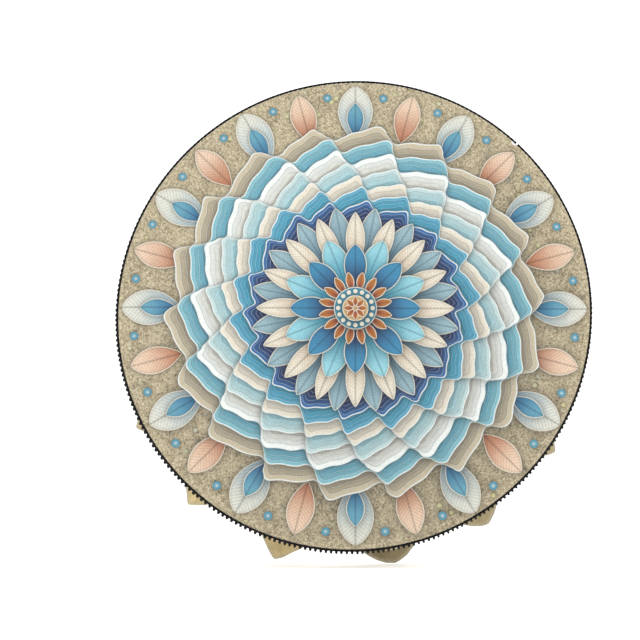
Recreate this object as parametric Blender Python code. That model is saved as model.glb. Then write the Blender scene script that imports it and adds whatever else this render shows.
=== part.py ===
"""Frame drum with a hide head laced to a grip ring.

The drum stands upright: its axis is Y, the playing face looks toward -Y, and the world
origin is the centre of the grip ring behind it. All sizes are in metres.
"""

import math

import bmesh
import bpy
from mathutils import Vector

# Drum
DRUM_DIAMETER = 0.254        # across the hide on the side wall, on the mean
OUT_OF_ROUND = 0.0011        # by which the hand-bent drum's radius swells and narrows
WIDEST_ANGLE = 51.0          # degrees round the drum, where it is widest
FIT_GAP = 0.0003             # between pieces that touch on the real drum

# Bentwood hoop
HOOP_DEPTH = 0.040
HOOP_WALL = 0.006
HOOP_EDGE_ROUND = 0.0009
HOOP_SEGMENTS = 66
SCARF_LENGTH = 0.066         # of the glued lap where the strip's ends meet
SCARF_NIB = 0.0011           # thickness left at each end of the lap
SCARF_ANGLE = 62.0           # degrees round the drum, at the lap's middle
SCARF_STEPS = 6

# Tacks through the lap
TACK_SHANK = 0.0015
TACK_HOLE = 0.0021
TACK_HEAD = 0.0046
TACK_HEAD_HEIGHT = 0.0010
TACK_ROWS = 2
TACK_ROW_SPACING = 0.020     # along the drum's axis
TACK_COLUMN_SHARE = 0.4      # of the lap's length, between the two columns of tacks

# Hide head
HIDE_THICKNESS = 0.0012
HIDE_EDGE_RADIUS = 0.0015    # where the head folds over the front of the hoop
POINT_PHASE = 13.8           # degrees, at the middle of the first point
# Each hand-cut point: turn in degrees, length against the rest, fullness of its two sides
HIDE_POINTS = (
    (0.2, 0.97, 0.3),
    (-0.4, 1.03, 0.1),
    (0.5, 1.00, 0.4),
    (-0.3, 0.95, 0.2),
    (0.4, 1.04, 0.5),
    (0.0, 0.98, 0.3),
    (-0.5, 1.02, 0.1),
    (0.3, 0.97, 0.4),
    (0.5, 0.75, 0.0),
    (-1.7, 0.87, 0.2),
    (-2.0, 1.12, 0.1),
    (1.8, 0.92, 0.7),
    (1.7, 0.95, 0.6),
    (1.5, 0.90, 0.2),
    (0.1, 1.00, 0.3),
)
NOTCH_DEPTH = 0.010          # from the hoop's back edge forward to the foot of a notch
FLARE_BEND = 0.0025          # radius of the curl at the foot of a point, on its front side
FLARE_ANGLE = 84.0           # degrees that a point curls out from the wall
POINT_LENGTH = 0.0092        # of the flat part of a point, past its curl
TIP_ROUNDING = 0.05          # of a point's tip, as a share of half a pitch
POINT_COLUMNS = (0.0, 0.06, 0.18, 0.34, 0.52, 0.76)   # of half a pitch, middle to notch
SKIRT_HEAD = 0.003           # of the mesh rows above the foot of a notch
ROW_SPACING = 0.0005         # least, between the mesh rows at the hide's cut edge

# Printed sheet on the face
SHEET_THICKNESS = 0.0004
SHEET_SEGMENTS = 96

# Trim round the face
TRIM_CORD = 0.0010           # thickness of the cord along the face
TRIM_CORD_LEAN = 46.0        # degrees by which the cord sits forward on the hide's fold
TRIM_CORD_SEGMENTS = 96
TRIM_SEAM_ANGLE = 46.0       # degrees round the drum, where the cord's ends meet
TRIM_SEAM_GAP = 0.0008
TRIM_DEPTH = 0.0052          # of the looped edging, along the drum's axis
TRIM_RISE = 0.0020           # of a loop's tip over the wall
TRIM_TIP_SHARE = 0.76        # of the edging's depth, from its front to a loop's tip
TRIM_FOOT_RISE = 0.0006      # of the edging over the wall between two loops
LOOP_PITCH = 0.0027

# Lacing
CORD = 0.0024
CORD_CLEARANCE = 0.00045     # from the cord to the hide and the ring that it bears on
EDGE_CLEARANCE = 0.0008      # from the cord to the hoop's back edge
LACE_HOLE = 0.0034
LACE_HOLE_SPACING = 0.010    # between the two holes of a point
LACE_HOLE_MARGIN = 0.0003    # from a hole to the foot of the curl
LACE_TURN = 0.0020           # radius of the cord's middle where it turns outside a hole
TURN_WIDTH = 0.0032          # by which the cord moves along the ring as it turns round it

# Knot that joins the cord's two ends
KNOT_LOOP = 0.0019           # a third of the knot's radius
KNOT_RISE = 0.00245          # of the cord's middle over the knot's middle plane
KNOT_SHIFT = 0.0016          # of the knot's middle in front of the holes
KNOT_STEPS = 33

# Grip ring
RING_DIAMETER = 0.046        # to the middle of the wire
RING_WIRE = 0.005
RING_SEGMENTS = 36

# Places along the drum's axis, worked out from the sizes above
HOLE_Y = 0.0
BACK_EDGE_Y = HOLE_Y - CORD / 2 - EDGE_CLEARANCE
FRONT_EDGE_Y = BACK_EDGE_Y - HOOP_DEPTH
HIDE_INNER_Y = FRONT_EDGE_Y - FIT_GAP
HIDE_FRONT_Y = HIDE_INNER_Y - HIDE_THICKNESS
SHEET_BACK_Y = HIDE_FRONT_Y - FIT_GAP
SHEET_FRONT_Y = SHEET_BACK_Y - SHEET_THICKNESS
WALL_START_Y = HIDE_FRONT_Y + HIDE_EDGE_RADIUS
CURL_Y = HOLE_Y + LACE_HOLE / 2 + LACE_HOLE_MARGIN

# Radii
WALL_RADIUS = DRUM_DIAMETER / 2
HOOP_OUTER = WALL_RADIUS - HIDE_THICKNESS - FIT_GAP
HOOP_INNER = HOOP_OUTER - HOOP_WALL
RING_RADIUS = RING_DIAMETER / 2
POINT_COUNT = len(HIDE_POINTS)
POINT_PITCH = 360.0 / POINT_COUNT


def clear_scene():
    for thing in list(bpy.data.objects):
        bpy.data.objects.remove(thing, do_unlink=True)


def round_axis(radius, y, degrees):
    """The point at this distance from the drum's axis; the angle runs from +X toward +Z."""
    turn = math.radians(degrees)
    return Vector((radius * math.cos(turn), y, radius * math.sin(turn)))


def swell(degrees):
    """How far outside a true circle the hand-bent drum lies at this angle."""
    return OUT_OF_ROUND * math.cos(2 * math.radians(degrees - WIDEST_ANGLE))


def on_drum(radius, y, degrees):
    """The point on the drum's rim that is this far from its axis on the mean."""
    return round_axis(radius + swell(degrees), y, degrees)


def arc_degrees(length, radius):
    return math.degrees(length / radius)


def material(name, colour, roughness, metallic=0.0):
    finish = bpy.data.materials.new(name)
    finish.use_nodes = True
    shader = finish.node_tree.nodes["Principled BSDF"]
    shader.inputs["Base Color"].default_value = (*colour, 1.0)
    shader.inputs["Roughness"].default_value = roughness
    shader.inputs["Metallic"].default_value = metallic
    return finish


def add_object(name, data, finish):
    thing = bpy.data.objects.new(name, data)
    bpy.context.scene.collection.objects.link(thing)
    data.materials.append(finish)
    return thing


def mesh_from(name, vertices, faces, crease_degrees):
    """A mesh shaded smooth, sharp where its faces meet at more than this angle."""
    mesh = bpy.data.meshes.new(name)
    mesh.from_pydata([tuple(v) for v in vertices], [], faces)
    body = bmesh.new()
    body.from_mesh(mesh)
    bmesh.ops.recalc_face_normals(body, faces=body.faces)
    body.to_mesh(mesh)
    body.free()
    mesh.shade_smooth()
    mesh.set_sharp_from_angle(angle=math.radians(crease_degrees))
    return mesh


def loft(rings, closed):
    """Vertices and faces of a skin over rings of points that match one to one."""
    vertices = [point for ring in rings for point in ring]
    count = len(rings[0])
    faces = []
    spans = len(rings) if closed else len(rings) - 1
    for i in range(spans):
        here = i * count
        there = (i + 1) % len(rings) * count
        for j in range(count):
            k = (j + 1) % count
            faces.append((here + j, here + k, there + k, there + j))
    if not closed:
        faces.append(tuple(reversed(range(count))))
        faces.append(tuple(range(len(vertices) - count, len(vertices))))
    return vertices, faces


def cut(target, cutters):
    """Take a mesh of cutters out of an object with a Boolean."""
    tool = bpy.data.objects.new(target.name + "_cutter", cutters)
    bpy.context.scene.collection.objects.link(tool)
    tool.hide_render = True
    tool.display_type = "WIRE"
    boolean = target.modifiers.new("holes", "BOOLEAN")
    boolean.operation = "DIFFERENCE"
    boolean.solver = "MANIFOLD"
    boolean.object = tool


def radial_pins(name, places, diameter, inner, outer, sides):
    """Round pins that point away from the axis, one at each (degrees, y)."""
    vertices = []
    faces = []
    for degrees, y in places:
        side = round_axis(1.0, 0.0, degrees + 90.0)
        start = len(vertices)
        for radius in (inner, outer):
            middle = on_drum(radius, y, degrees)
            for j in range(sides):
                turn = 2 * math.pi * j / sides
                along = side * math.cos(turn) + Vector((0.0, math.sin(turn), 0.0))
                vertices.append(middle + along * diameter / 2)
        for j in range(sides):
            k = (j + 1) % sides
            faces.append((start + j, start + k, start + sides + k, start + sides + j))
        faces.append(tuple(start + j for j in reversed(range(sides))))
        faces.append(tuple(start + sides + j for j in range(sides)))
    return mesh_from(name, vertices, faces, 40.0)


# ---------------------------------------------------------------- hoop and its tacks

def hoop_section(degrees, inner, outer):
    """The strip's cross-section, with eased corners."""
    ease = min(HOOP_EDGE_ROUND, (outer - inner) / 3)
    corners = (
        (inner + ease, FRONT_EDGE_Y), (outer - ease, FRONT_EDGE_Y),
        (outer, FRONT_EDGE_Y + ease), (outer, BACK_EDGE_Y - ease),
        (outer - ease, BACK_EDGE_Y), (inner + ease, BACK_EDGE_Y),
        (inner, BACK_EDGE_Y - ease), (inner, FRONT_EDGE_Y + ease),
    )
    return [on_drum(radius, y, degrees) for radius, y in corners]


def tack_places():
    """Where the tacks go, as (degrees, y), round the middle of the lap."""
    middle = (FRONT_EDGE_Y + BACK_EDGE_Y) / 2
    half_turn = arc_degrees(SCARF_LENGTH * TACK_COLUMN_SHARE, HOOP_INNER) / 2
    places = []
    for turn in (-half_turn, half_turn):
        for row in range(TACK_ROWS):
            y = middle + (row - (TACK_ROWS - 1) / 2) * TACK_ROW_SPACING
            places.append((SCARF_ANGLE + turn, y))
    return places


def build_hoop():
    """One bent strip: its thinned ends lie over each other in a nibbed scarf."""
    lap = arc_degrees(SCARF_LENGTH, HOOP_OUTER)
    butt = arc_degrees(FIT_GAP, HOOP_INNER)
    start = SCARF_ANGLE - lap / 2
    finish = start + lap
    slope_low = HOOP_INNER + SCARF_NIB
    slope_high = HOOP_OUTER - SCARF_NIB - FIT_GAP
    rings = []
    for i in range(SCARF_STEPS + 1):
        share = i / SCARF_STEPS
        top = slope_low + (slope_high - slope_low) * share
        rings.append(hoop_section(start + butt + (lap - butt) * share, HOOP_INNER, top))
    full = 360.0 - lap
    for i in range(HOOP_SEGMENTS + 1):
        degrees = finish + full * i / HOOP_SEGMENTS
        rings.append(hoop_section(degrees, HOOP_INNER, HOOP_OUTER))
    for i in range(SCARF_STEPS + 1):
        share = i / SCARF_STEPS
        base = slope_low + FIT_GAP + (slope_high - slope_low) * share
        rings.append(hoop_section(start + 360.0 + (lap - butt) * share, base, HOOP_OUTER))
    vertices, faces = loft(rings, closed=False)
    mesh = mesh_from("hoop", vertices, faces, 35.0)
    hoop = add_object("hoop", mesh, material("bent_wood", (0.62, 0.45, 0.27), 0.55))
    past = 2 * HOOP_WALL
    holes = radial_pins("tack_holes", tack_places(), TACK_HOLE, HOOP_INNER - past,
                        HOOP_OUTER + past, 10)
    cut(hoop, holes)
    return hoop


def tack_mesh():
    """A small domed tack on the X axis, its point outward, placed by its object."""
    sides = 10
    seat = HOOP_INNER * math.cos(math.radians(180.0 / HOOP_SEGMENTS)) - FIT_GAP
    profile = (
        (seat - TACK_HEAD_HEIGHT, TACK_HEAD * 0.22),
        (seat - TACK_HEAD_HEIGHT * 0.6, TACK_HEAD * 0.42),
        (seat, TACK_HEAD / 2),
        (seat, TACK_SHANK / 2),
        (HOOP_OUTER - HOOP_WALL * 0.2, TACK_SHANK / 2),
        (HOOP_OUTER - FIT_GAP, TACK_SHANK * 0.12),
    )
    rings = []
    for x, reach in profile:
        ring = []
        for j in range(sides):
            turn = 2 * math.pi * j / sides
            ring.append(Vector((x, reach * math.cos(turn), reach * math.sin(turn))))
        rings.append(ring)
    vertices, faces = loft(rings, closed=False)
    return mesh_from("lap_tack", vertices, faces, 40.0)


def build_tacks():
    """Tacks driven from inside the hoop through both ends of the strip."""
    mesh = tack_mesh()
    mesh.materials.append(material("tack_brass", (0.62, 0.47, 0.20), 0.35, 1.0))
    for number, (degrees, y) in enumerate(tack_places(), start=1):
        tack = bpy.data.objects.new(f"lap_tack_{number}", mesh)
        bpy.context.scene.collection.objects.link(tack)
        tack.location = round_axis(swell(degrees), y, degrees)
        tack.rotation_euler = (0.0, -math.radians(degrees), 0.0)


# ---------------------------------------------------------------- head

def point_angle(index):
    """Degrees at the middle of a hide point."""
    turn = HIDE_POINTS[index % POINT_COUNT][0]
    return POINT_PHASE + POINT_PITCH * index + turn


def head_columns():
    """Columns round the head: (degrees, distance from the nearest point's middle, point)."""
    columns = []
    for index in range(POINT_COUNT):
        middle = point_angle(index)
        before = (middle - point_angle(index - 1) if index else
                  middle - point_angle(POINT_COUNT - 1) + 360.0) / 2
        after = (point_angle(index + 1) - middle if index < POINT_COUNT - 1 else
                 point_angle(0) + 360.0 - middle) / 2
        for share in reversed(POINT_COLUMNS[1:]):
            columns.append((middle - before * share, share, index))
        for share in (*POINT_COLUMNS, 1.0):
            columns.append((middle + after * share, share, index))
    return columns


def skirt_place(run, depth_in):
    """Radius and y on the skirt: run is measured back along the hide from the fold, and
    depth_in from its outer side toward its inner side."""
    straight = CURL_Y - WALL_START_Y
    if run <= straight:
        return WALL_RADIUS - depth_in, WALL_START_Y + run
    curl = math.radians(FLARE_ANGLE)
    bend = FLARE_BEND
    turned = min((run - straight) / bend, curl)
    past = max(run - straight - bend * curl, 0.0)
    radius = WALL_RADIUS + bend - (bend + depth_in) * math.cos(turned)
    y = CURL_Y + (bend + depth_in) * math.sin(turned)
    return radius + past * math.sin(turned), y + past * math.cos(turned)


def hide_edge_run(share, index):
    """How far back the hide reaches, at this share of half a pitch from a point's middle:
    nearly straight cuts run from the rounded tip down to the notch."""
    length, fullness = HIDE_POINTS[index][1:]
    notch = BACK_EDGE_Y - NOTCH_DEPTH - WALL_START_Y
    curled = FLARE_BEND * math.radians(FLARE_ANGLE)
    tip = CURL_Y - WALL_START_Y + curled + POINT_LENGTH * length
    fall = math.hypot(share, TIP_ROUNDING) - TIP_ROUNDING
    fall /= math.hypot(1.0, TIP_ROUNDING) - TIP_ROUNDING
    return notch + (tip - notch) * (1.0 - fall) * (1.0 + fullness * fall)


def skirt_runs(edge):
    """Rows of the skirt from above the notches to its cut edge: they keep to the foot, middle
    and end of the curl as far as the hide reaches."""
    curled = FLARE_BEND * math.radians(FLARE_ANGLE)
    start = BACK_EDGE_Y - NOTCH_DEPTH - SKIRT_HEAD - WALL_START_Y
    foot = CURL_Y - WALL_START_Y
    rows = (start, foot, foot + curled / 2, foot + curled)
    runs = [min(row, edge - (len(rows) - i) * ROW_SPACING) for i, row in enumerate(rows)]
    runs[0] = start
    return [*runs, edge]


def head_ring(degrees, share, index):
    """One cross-section of the head, from the face's outer edge round the hide's cut edge
    and back up its inner side to the inner edge of the face."""
    fold_steps = 2
    centre_radius = WALL_RADIUS - HIDE_EDGE_RADIUS
    ring = []
    for i in range(fold_steps + 1):
        turn = math.pi / 2 * i / fold_steps
        ring.append((centre_radius + HIDE_EDGE_RADIUS * math.sin(turn),
                     WALL_START_Y - HIDE_EDGE_RADIUS * math.cos(turn)))
    runs = skirt_runs(hide_edge_run(share, index))
    for run in runs:
        ring.append(skirt_place(run, 0.0))
    for run in reversed(runs):
        ring.append(skirt_place(run, HIDE_THICKNESS))
    inner_fold = HIDE_EDGE_RADIUS - HIDE_THICKNESS
    ring.append((WALL_RADIUS - HIDE_THICKNESS, HIDE_INNER_Y + inner_fold))
    ring.append((centre_radius, HIDE_INNER_Y))
    return [on_drum(radius, y, degrees) for radius, y in ring]


def lace_hole_angle(index, side):
    """Degrees at one of a point's two holes; side is -1 or 1."""
    return point_angle(index) + side * arc_degrees(LACE_HOLE_SPACING / 2, WALL_RADIUS)


def build_drumhead():
    """The hide: face, fold and wall in one skin, cut into curled points behind the hoop."""
    rings = [head_ring(*column) for column in head_columns()]
    count = len(rings[0])
    vertices = [point for ring in rings for point in ring]
    faces = []
    for i in range(len(rings)):
        here = i * count
        there = (i + 1) % len(rings) * count
        for j in range(count - 1):
            faces.append((here + j, there + j, there + j + 1, here + j + 1))
    faces.append(tuple(i * count for i in range(len(rings))))
    faces.append(tuple(i * count + count - 1 for i in reversed(range(len(rings)))))
    mesh = mesh_from("drumhead", vertices, faces, 35.0)
    head = add_object("drumhead", mesh, material("hide", (0.72, 0.60, 0.42), 0.6))
    places = [(lace_hole_angle(index, side), HOLE_Y)
              for index in range(POINT_COUNT) for side in (-1, 1)]
    past = 2 * HIDE_THICKNESS
    holes = radial_pins("lace_holes", places, LACE_HOLE, WALL_RADIUS - past,
                        WALL_RADIUS + past / 2, 8)
    cut(head, holes)
    return head


def build_face_sheet():
    """The printed sheet bonded to the face; the trim cord lies against its cut edge."""
    radius = trim_cord_place()[0] - TRIM_CORD / 2 - FIT_GAP
    rings = []
    for y in (SHEET_BACK_Y, SHEET_FRONT_Y):
        rings.append([on_drum(radius, y, 360.0 * j / SHEET_SEGMENTS)
                      for j in range(SHEET_SEGMENTS)])
    vertices, faces = loft(rings, closed=False)
    mesh = mesh_from("face_sheet", vertices, faces, 35.0)
    finish = material("printed_sheet", (0.30, 0.62, 0.72), 0.45)
    return add_object("face_sheet", mesh, finish)


# ---------------------------------------------------------------- trim

def trim_cord_place():
    """Radius and y of the trim cord's middle, on the fold of the hide."""
    reach = HIDE_EDGE_RADIUS + FIT_GAP + TRIM_CORD / 2
    lean = math.radians(TRIM_CORD_LEAN)
    radius = WALL_RADIUS - HIDE_EDGE_RADIUS + reach * math.cos(lean)
    return radius, WALL_START_Y - reach * math.sin(lean)


def build_trim_cord():
    """The cord round the face, its two ends butted at a seam."""
    radius, y = trim_cord_place()
    sides = 5
    seam = arc_degrees(TRIM_SEAM_GAP, WALL_RADIUS)
    rings = []
    for i in range(TRIM_CORD_SEGMENTS + 1):
        degrees = TRIM_SEAM_ANGLE + seam / 2 + (360.0 - seam) * i / TRIM_CORD_SEGMENTS
        ring = []
        for j in range(sides):
            turn = 2 * math.pi * j / sides
            ring.append(on_drum(radius + TRIM_CORD / 2 * math.cos(turn),
                                y + TRIM_CORD / 2 * math.sin(turn), degrees))
        rings.append(ring)
    vertices, faces = loft(rings, closed=False)
    mesh = mesh_from("trim_cord", vertices, faces, 70.0)
    return add_object("trim_cord", mesh, material("trim_black", (0.012, 0.012, 0.013), 0.5))


def build_trim_loops():
    """The looped edging behind the trim cord: a ring of small ridges that rise backward."""
    foot = WALL_RADIUS + FIT_GAP
    front = trim_cord_place()[1] + TRIM_CORD / 2 + FIT_GAP
    tip = front + TRIM_DEPTH * TRIM_TIP_SHARE
    back = front + TRIM_DEPTH
    loops = round(2 * math.pi * WALL_RADIUS / LOOP_PITCH)
    rings = []
    for i in range(loops * 2):
        degrees = 360.0 * i / (loops * 2)
        rise = TRIM_RISE if i % 2 else TRIM_FOOT_RISE
        rings.append([
            on_drum(foot, front, degrees),
            on_drum(WALL_RADIUS + rise, tip, degrees),
            on_drum(foot, back, degrees),
        ])
    vertices, faces = loft(rings, closed=True)
    mesh = mesh_from("trim_loops", vertices, faces, 30.0)
    return add_object("trim_loops", mesh, material("edging_black", (0.014, 0.014, 0.015), 0.6))


# ---------------------------------------------------------------- lacing, knot and ring

def bridge_radius():
    """Distance from the axis to the cord's middle where it lies outside the hide."""
    sag = 1.0 - math.cos(math.radians(arc_degrees(LACE_HOLE_SPACING / 2, WALL_RADIUS)))
    return WALL_RADIUS * (1.0 + sag) + CORD_CLEARANCE + CORD / 2


def turn_outside(index, side, inward):
    """The cord's quarter turn at a hole, between its leg and the run along the wall."""
    steps = 3
    degrees = lace_hole_angle(index, side)
    outward = round_axis(1.0, 0.0, degrees)
    corner = on_drum(bridge_radius(), HOLE_Y, degrees)
    partner = on_drum(bridge_radius(), HOLE_Y, lace_hole_angle(index, -side))
    along = (partner - corner).normalized()
    centre = corner - outward * LACE_TURN + along * LACE_TURN
    points = []
    for i in range(steps + 1):
        turn = math.pi / 2 * i / steps
        points.append(centre + (outward * math.sin(turn) - along * math.cos(turn)) * LACE_TURN)
    return list(reversed(points)) if inward else points


def turn_round_ring(index):
    """The cord's turn round the ring between a point and the next: behind, through, in front."""
    steps = 5
    reach = RING_WIRE / 2 + CORD_CLEARANCE + CORD / 2
    first = lace_hole_angle(index, 1)
    last = lace_hole_angle(index + 1, -1)
    if last < first:
        last += 360.0
    degrees = (first + last) / 2
    sideways = round_axis(1.0, 0.0, degrees + 90.0)
    points = []
    for i in range(steps + 1):
        turn = math.pi * (0.5 + i / steps)
        place = round_axis(RING_RADIUS + reach * math.cos(turn), reach * math.sin(turn), degrees)
        points.append(place + sideways * TURN_WIDTH * (i / steps - 0.5))
    return points


def lacing_points():
    """The whole route: out of the first point's hole, to the ring, and so on round the drum
    until the cord comes back out of the first point's other hole."""
    end_radius = WALL_RADIUS + CORD_CLEARANCE / 3
    points = [on_drum(end_radius, HOLE_Y, lace_hole_angle(0, 1))]
    for index in range(POINT_COUNT):
        points.extend(turn_round_ring(index))
        following = (index + 1) % POINT_COUNT
        if following:
            points.extend(turn_outside(following, -1, inward=False))
            points.extend(turn_outside(following, 1, inward=True))
    points.append(on_drum(end_radius, HOLE_Y, lace_hole_angle(0, -1)))
    return points


def knot_points():
    """A trefoil laid on the wall over the first point's holes."""
    degrees = point_angle(0)
    outward = round_axis(1.0, 0.0, degrees)
    sideways = round_axis(1.0, 0.0, degrees + 90.0)
    lift = WALL_RADIUS + CORD_CLEARANCE + CORD / 2 + KNOT_RISE
    centre = on_drum(lift, HOLE_Y - KNOT_SHIFT, degrees)
    points = []
    for i in range(KNOT_STEPS):
        t = 2 * math.pi * i / KNOT_STEPS
        across = KNOT_LOOP * (math.sin(t) + 2 * math.sin(2 * t))
        along = KNOT_LOOP * (math.cos(t) - 2 * math.cos(2 * t))
        up = -KNOT_RISE * math.sin(3 * t)
        points.append(centre + sideways * across + Vector((0.0, along, 0.0)) + outward * up)
    return points


def least_self_gap(points, thickness, skip):
    """The least gap between stretches of a closed tube that lie more than skip points apart."""
    count = len(points)
    least = math.inf
    for i in range(count):
        for j in range(i + skip, count - max(0, skip - i)):
            least = min(least, (points[i] - points[j]).length - thickness)
    return least


def tube(name, points, thickness, sides_level, cyclic, finish):
    curve = bpy.data.curves.new(name, "CURVE")
    curve.dimensions = "3D"
    curve.bevel_depth = thickness / 2
    curve.bevel_resolution = sides_level
    curve.use_fill_caps = not cyclic
    spline = curve.splines.new("POLY")
    spline.points.add(len(points) - 1)
    for place, point in zip(spline.points, points):
        place.co = (*point, 1.0)
    spline.use_cyclic_u = cyclic
    spline.use_smooth = True
    return add_object(name, curve, finish)


def build_lacing():
    finish = material("rawhide_lace", (0.66, 0.50, 0.30), 0.6)
    return tube("lacing", lacing_points(), CORD, 2, False, finish)


def build_knot():
    points = knot_points()
    gap = least_self_gap(points, CORD, 5)
    print(f"lacing_knot: least gap between its turns {gap * 1000:.2f} mm")
    return tube("lacing_knot", points, CORD, 1, True, material("knot_lace", (0.62, 0.46, 0.27), 0.6))


def build_grip_ring():
    sides = 8
    rings = []
    for i in range(RING_SEGMENTS):
        degrees = 360.0 * i / RING_SEGMENTS
        ring = []
        for j in range(sides):
            turn = 2 * math.pi * j / sides
            ring.append(round_axis(RING_RADIUS + RING_WIRE / 2 * math.cos(turn),
                                   RING_WIRE / 2 * math.sin(turn), degrees))
        rings.append(ring)
    vertices, faces = loft(rings, closed=True)
    mesh = mesh_from("grip_ring", vertices, faces, 60.0)
    return add_object("grip_ring", mesh, material("ring_steel", (0.62, 0.62, 0.60), 0.3, 1.0))


def main():
    clear_scene()
    build_hoop()
    build_tacks()
    build_drumhead()
    build_face_sheet()
    build_trim_cord()
    build_trim_loops()
    build_lacing()
    build_knot()
    build_grip_ring()
    bpy.context.view_layer.update()


main()
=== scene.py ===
"""The frame drum's looks: hide, wood, lacing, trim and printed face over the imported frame."""
import math

import bpy
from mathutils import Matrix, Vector, noise


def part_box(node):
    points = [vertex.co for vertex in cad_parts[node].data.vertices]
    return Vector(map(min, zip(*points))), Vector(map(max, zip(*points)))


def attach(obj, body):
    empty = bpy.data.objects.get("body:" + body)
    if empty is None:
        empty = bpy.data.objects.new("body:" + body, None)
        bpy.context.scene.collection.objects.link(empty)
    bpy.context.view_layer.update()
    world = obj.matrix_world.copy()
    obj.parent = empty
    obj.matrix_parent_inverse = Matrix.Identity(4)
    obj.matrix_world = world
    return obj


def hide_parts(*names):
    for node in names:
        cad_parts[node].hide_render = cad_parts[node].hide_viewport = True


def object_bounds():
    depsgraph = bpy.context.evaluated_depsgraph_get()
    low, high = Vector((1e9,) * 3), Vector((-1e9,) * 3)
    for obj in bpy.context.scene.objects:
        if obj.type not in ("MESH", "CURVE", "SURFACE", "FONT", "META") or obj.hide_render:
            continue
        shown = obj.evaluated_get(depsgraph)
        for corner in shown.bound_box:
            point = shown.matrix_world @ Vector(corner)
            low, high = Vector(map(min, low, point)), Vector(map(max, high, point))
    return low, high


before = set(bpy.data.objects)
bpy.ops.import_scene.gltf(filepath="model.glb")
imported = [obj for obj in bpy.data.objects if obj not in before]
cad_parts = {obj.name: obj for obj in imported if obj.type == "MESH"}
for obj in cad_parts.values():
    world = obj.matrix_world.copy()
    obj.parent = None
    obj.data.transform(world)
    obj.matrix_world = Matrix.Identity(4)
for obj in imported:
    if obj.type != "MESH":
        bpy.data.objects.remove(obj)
cad_low, cad_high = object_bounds()

# ---- sizes, in metres

hoop_low, hoop_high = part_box("hoop")
sheet_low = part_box("face_sheet")[0]
ring_low, ring_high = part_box("grip_ring")
cord_low, cord_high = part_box("trim_cord")
loops_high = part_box("trim_loops")[1]

FRONT_EDGE_Y = hoop_low.y
BACK_EDGE_Y = hoop_high.y
SHEET_FRONT_Y = sheet_low.y
WALL_RADIUS = 0.127
OUT_OF_ROUND = 0.0011  # by which the hand-bent drum's radius swells and narrows
WIDEST_ANGLE = 51.0  # degrees
HIDE_THICKNESS = 0.0012
FIT_GAP = 0.0003  # between pieces that touch on the real drum
HOOP_OUTER = WALL_RADIUS - HIDE_THICKNESS - FIT_GAP
HOOP_WALL = 0.006
HOOP_INNER = HOOP_OUTER - HOOP_WALL
RING_WIRE = ring_high.y - ring_low.y
RING_RADIUS = ring_high.x - RING_WIRE / 2
LACE = 0.0024  # thickness of the rawhide lace
HOLE_Y = 0.0
MM = 0.001

# Each hand-cut point: turn in degrees, length against the rest, fullness of its two sides
HIDE_POINTS = (
    (0.2, 0.97, 0.3), (-0.4, 1.03, 0.1), (0.5, 1.00, 0.4), (-0.3, 0.95, 0.2),
    (0.4, 1.04, 0.5), (0.0, 0.98, 0.3), (-0.5, 1.02, 0.1), (0.3, 0.75, 0.4),
    (0.5, 0.75, 0.0), (-1.7, 0.87, 0.2), (-2.0, 1.12, 0.1), (1.8, 0.92, 0.7),
    (1.7, 0.95, 0.6), (1.5, 0.90, 0.2), (0.1, 0.78, 0.3),
)
POINT_PHASE = 13.8
POINT_COUNT = len(HIDE_POINTS)
POINT_PITCH = 360.0 / POINT_COUNT


def round_axis(radius, y, degrees):
    turn = math.radians(degrees)
    return Vector((radius * math.cos(turn), y, radius * math.sin(turn)))


def swell(degrees):
    """How far outside a true circle the hand-bent drum lies at this angle."""
    return OUT_OF_ROUND * math.cos(2 * math.radians(degrees - WIDEST_ANGLE))


def on_drum(radius, y, degrees):
    """The point on the drum's rim that is this far from its axis on the mean."""
    return round_axis(radius + swell(degrees), y, degrees)


def point_angle(index):
    return POINT_PHASE + POINT_PITCH * index + HIDE_POINTS[index % POINT_COUNT][0]


# ---- mesh helpers

def add(name, data):
    thing = bpy.data.objects.new(name, data)
    bpy.context.scene.collection.objects.link(thing)
    return thing


def add_mesh(name, vertices, faces):
    mesh = bpy.data.meshes.new(name)
    mesh.from_pydata([tuple(v) for v in vertices], [], faces)
    return add(name, mesh)


def piece(name, vertices, faces, paint, cad_nodes, crease=40.0, strand=None):
    """A mesh piece that rides on the drum and replaces these CAD nodes."""
    thing = add_mesh(name, vertices, faces)
    mesh = thing.data
    mesh.validate()
    if strand:
        layer = mesh.uv_layers.new(name="strand")
        for loop, place in zip(layer.data, strand):
            loop.uv = place
    mesh.shade_smooth()
    mesh.set_sharp_from_angle(angle=math.radians(crease))
    mesh.materials.append(paint)
    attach(thing, "root")
    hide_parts(*cad_nodes)
    return thing


def shares(steps):
    """From 0 to 1 in this many equal steps."""
    return [i / steps for i in range(steps + 1)]


def skin(rings):
    """Vertices and faces of a form through these rings of points, closed at both ends."""
    vertices = [point for ring in rings for point in ring]
    count = len(rings[0])
    faces = []
    for here in range(0, (len(rings) - 1) * count, count):
        for j in range(count):
            k = (j + 1) % count
            faces.append((here + j, here + k, here + count + k, here + count + j))
    faces.append(tuple(reversed(range(count))))
    faces.append(tuple(range(len(vertices) - count, len(vertices))))
    return vertices, faces


def frames_along(points, closed):
    """A steady pair of crosswise directions at each point of a path."""
    count = len(points)
    frames = []
    across = None
    for i in range(count):
        if closed:
            ahead = (points[(i + 1) % count] - points[i - 1]).normalized()
        else:
            ahead = (points[min(i + 1, count - 1)] - points[max(i - 1, 0)]).normalized()
        if across is None:
            across = ahead.orthogonal().normalized()
        across = (across - ahead * across.dot(ahead)).normalized()
        frames.append((across.copy(), ahead.cross(across)))
    return frames


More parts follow.
